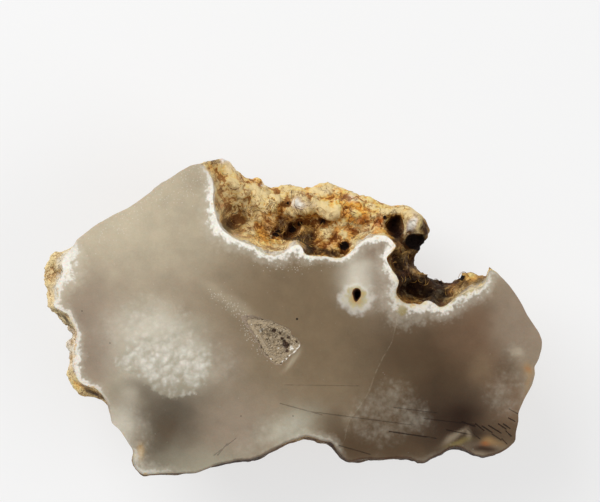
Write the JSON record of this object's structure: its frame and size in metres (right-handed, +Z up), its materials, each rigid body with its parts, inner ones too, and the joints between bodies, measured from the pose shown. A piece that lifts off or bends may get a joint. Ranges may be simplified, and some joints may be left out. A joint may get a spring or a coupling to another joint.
{
  "type": "rough agate",
  "caption": "Half of a knobbly agate nodule lying on its natural rind, with the flat sawn face on top, a deep bay, a narrow neck and a crystal-lined pocket.",
  "frame": {"origin": "middle of the bounding box in plan, on the surface that the stone rests on", "axes": "+X along the stone's length towards its right lobe, +Y towards the side with the deep bay, +Z up out of the sawn face"},
  "size_m": [0.101, 0.0644, 0.03],
  "materials": {
    "stone": "grey-brown chalcedony, smooth-sawn with soft gloss on the face, whitish chalky rim, rough ochre to brown rind",
    "druse": "small bright quartz points"
  },
  "bodies": {
    "root": {"agate_stone": "stone", "quartz_druse": "druse"}
  },
  "joints": []
}
